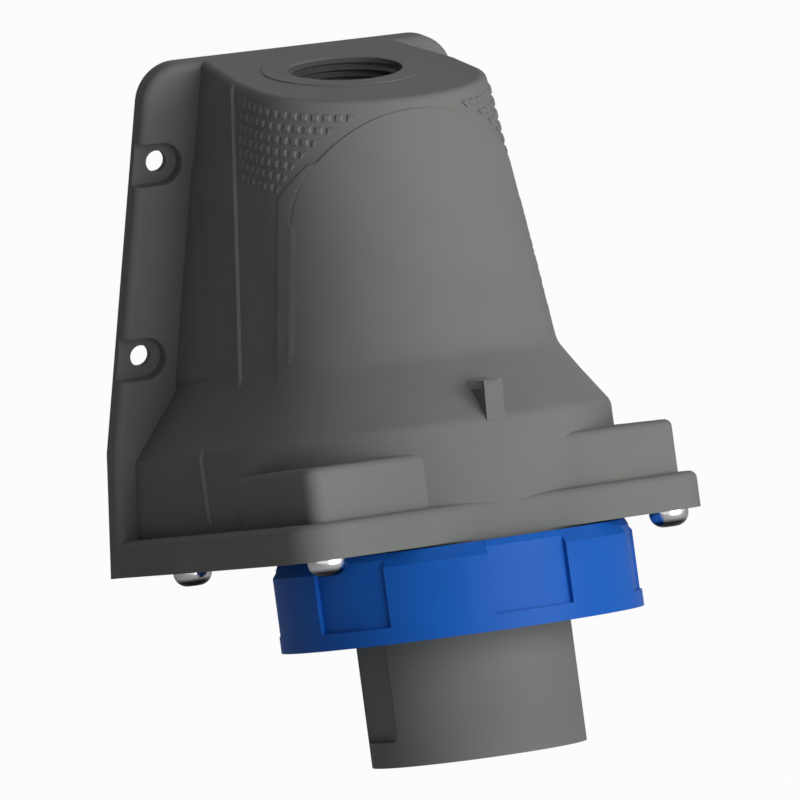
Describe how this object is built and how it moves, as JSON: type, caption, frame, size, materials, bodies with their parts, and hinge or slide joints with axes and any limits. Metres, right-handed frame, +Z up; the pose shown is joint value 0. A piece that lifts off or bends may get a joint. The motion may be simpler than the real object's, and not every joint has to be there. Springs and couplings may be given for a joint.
{
  "type": "wall mounted power inlet",
  "caption": "Surface mounted industrial power inlet: ribbed-rim plastic housing on a wall plate, threaded top cable entry, slanted pin sleeve and a turning locking ring.",
  "frame": {"origin": "on the wall face, on the centre line, midway in height between the two rows of mounting holes", "axes": "+Z up, +Y into the wall, +X to the right seen from the front; the inlet points down and away from the wall"},
  "size_m": [0.1476, 0.1844, 0.2222],
  "materials": {
    "housing": "finely textured dark grey moulded plastic, satin",
    "inlet_body": "dark grey moulded plastic, satin",
    "carrier": "black moulded plastic, matt",
    "ring": "blue moulded plastic, soft gloss",
    "clip": "spring steel",
    "seal": "black rubber",
    "contacts": "turned brass",
    "terminals": "turned brass",
    "clamps": "plated steel",
    "screws": "bright plated steel",
    "inserts": "turned brass"
  },
  "bodies": {
    "root": {"housing": "housing", "inlet_body": "inlet_body", "pin_carrier": "carrier", "ring_clip": "clip", "flange_gasket": "seal", "face_seal": "seal", "earth_pin": "contacts", "line_pin": "contacts", "neutral_pin": "contacts", "pilot_pin": "contacts", "earth_terminal": "terminals", "line_terminal": "terminals", "neutral_terminal": "terminals", "pilot_terminal": "terminals", "earth_clamp_screw": "clamps", "line_clamp_screw": "clamps", "neutral_clamp_screw": "clamps", "pilot_clamp_screw": "clamps", "carrier_screws": "clamps", "flange_screws": "screws", "screw_inserts": "inserts"},
    "ring": {"locking_ring": "ring"}
  },
  "joints": [
    {"name": "ring_turn", "type": "hinge", "parent": "root", "child": "ring", "pos_m": [0, -0.1187, -0.0779], "axis": [0, 0.2588, 0.9659], "range_deg": [0, 50]}
  ]
}
